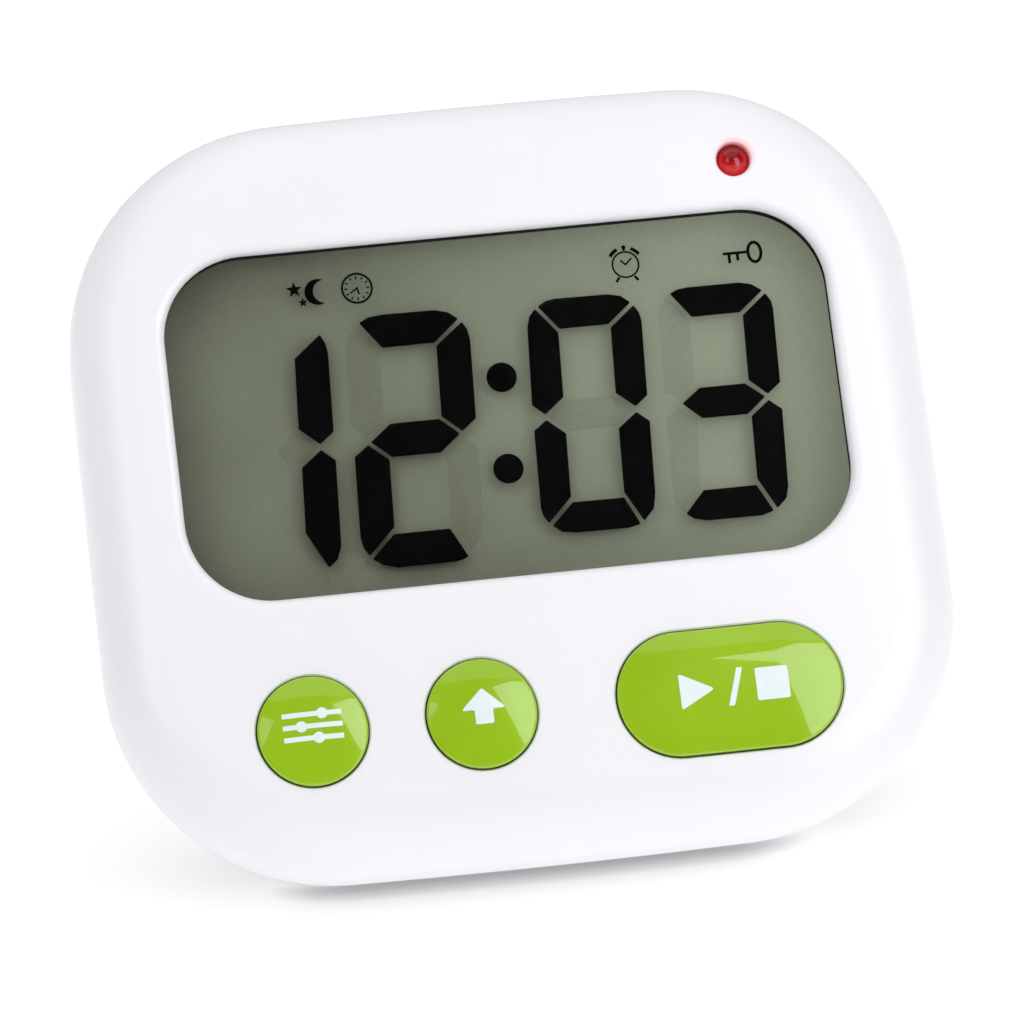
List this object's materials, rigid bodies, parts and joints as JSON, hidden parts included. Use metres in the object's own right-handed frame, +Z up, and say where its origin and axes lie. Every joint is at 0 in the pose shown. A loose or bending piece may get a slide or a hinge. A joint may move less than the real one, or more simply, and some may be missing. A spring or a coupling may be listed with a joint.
{
  "type": "lab timer",
  "caption": "Small battery timer with a large segment display, domed push keys, alarm lamp, fold-out stand, magnetic back and hanging keyhole.",
  "frame": {"origin": "on the floor under the middle of the timer's bounding box, standing on its opened stand", "axes": "+Z up; the display faces -Y and leans back 30 degrees; +X to the right as seen from the front"},
  "size_m": [0.0796, 0.052, 0.0695],
  "materials": {
    "white_abs": "glossy moulded ABS",
    "green_abs": "glossy moulded ABS",
    "steel": "nickel-plated",
    "ferrite": "sintered ferrite",
    "foam": "closed-cell foam",
    "polariser": "anti-glare film",
    "lcd_glass": "clear",
    "lcd_silver": "transflective film",
    "holder_abs": "satin",
    "zebra_rubber": "matt",
    "fr4": "solder-masked board",
    "epoxy": "glossy epoxy",
    "component": "ceramic and resin parts",
    "cap_sleeve": "shrink sleeve",
    "led_red": "diffused epoxy lens",
    "silicone": "satin silicone",
    "black_abs": "satin",
    "paper_board": "phenolic board",
    "brass_disc": "plain",
    "piezo": "silvered ceramic",
    "motor_steel": "drawn can",
    "tungsten": "sintered",
    "sleeve_rubber": "soft",
    "cell_jacket": "shrink-wrapped cell",
    "contact_steel": "nickel-plated spring steel",
    "wire_pvc": "PVC-insulated wire"
  },
  "bodies": {
    "case": {"front_shell": "white_abs", "rear_shell": "white_abs", "kickstand_hinge_pin": "steel", "rear_magnets": "ferrite", "case_screws": "steel", "display_gasket": "foam", "lcd_front_polariser": "polariser", "lcd_front_glass": "lcd_glass", "lcd_rear_glass": "lcd_glass", "lcd_reflector": "lcd_silver", "lcd_holder": "holder_abs", "zebra_strip": "zebra_rubber", "main_pcb": "fr4", "pcb_screws": "steel", "controller_blob": "epoxy", "quartz_crystal": "steel", "smd_parts": "component", "filter_capacitor": "cap_sleeve", "alarm_led": "led_red", "rubber_keypad": "silicone", "power_switch_can": "steel", "sound_switch_can": "steel", "switch_boards": "paper_board", "piezo_disc": "brass_disc", "piezo_ceramic": "piezo", "vibration_motor_can": "motor_steel", "motor_sleeve": "sleeve_rubber", "battery_upper": "cell_jacket", "battery_lower": "cell_jacket", "battery_negative_contact": "contact_steel", "battery_positive_contact": "contact_steel", "battery_bridge_contact": "contact_steel", "battery_leads": "wire_pvc", "motor_leads": "wire_pvc", "buzzer_leads": "wire_pvc", "switch_leads": "wire_pvc"},
    "set_key": {"key_set": "green_abs"},
    "up_key": {"key_up": "green_abs"},
    "start_stop_key": {"key_start_stop": "green_abs"},
    "power_slider": {"power_switch_lever": "black_abs"},
    "sound_slider": {"sound_switch_lever": "black_abs"},
    "stand": {"kickstand": "white_abs"},
    "door": {"battery_door": "white_abs"},
    "rotor": {"motor_shaft": "steel", "eccentric_weight": "tungsten"}
  },
  "joints": [
    {"name": "set_key_press", "type": "slide", "parent": "case", "child": "set_key", "axis": [0, 0.866, -0.5], "range_m": [0, 0.001], "stiffness_N_per_m": 900, "deforming": ["rubber_keypad"]},
    {"name": "up_key_press", "type": "slide", "parent": "case", "child": "up_key", "axis": [0, 0.866, -0.5], "range_m": [0, 0.001], "stiffness_N_per_m": 900, "deforming": ["rubber_keypad"]},
    {"name": "start_stop_key_press", "type": "slide", "parent": "case", "child": "start_stop_key", "axis": [0, 0.866, -0.5], "range_m": [0, 0.001], "stiffness_N_per_m": 1200, "deforming": ["rubber_keypad"]},
    {"name": "power_slider_travel", "type": "slide", "parent": "case", "child": "power_slider", "axis": [0, 0.5, 0.866], "range_m": [-0.002, 0.002]},
    {"name": "sound_slider_travel", "type": "slide", "parent": "case", "child": "sound_slider", "axis": [0, 0.5, 0.866], "range_m": [-0.002, 0.002]},
    {"name": "stand_fold", "type": "hinge", "parent": "case", "child": "stand", "pos_m": [0, 0.00667, 0.0285], "axis": [-1, 0, 0], "range_deg": [0, 50.29]},
    {"name": "battery_door_swing", "type": "hinge", "parent": "case", "child": "door", "pos_m": [0, 0.0108, 0.03305], "axis": [-1, 0, 0], "range_deg": [0, 75]},
    {"name": "vibration_motor_spin", "type": "hinge", "parent": "case", "child": "rotor", "pos_m": [0, -0.0137, 0.01082], "axis": [1, 0, 0], "continuous": true}
  ]
}
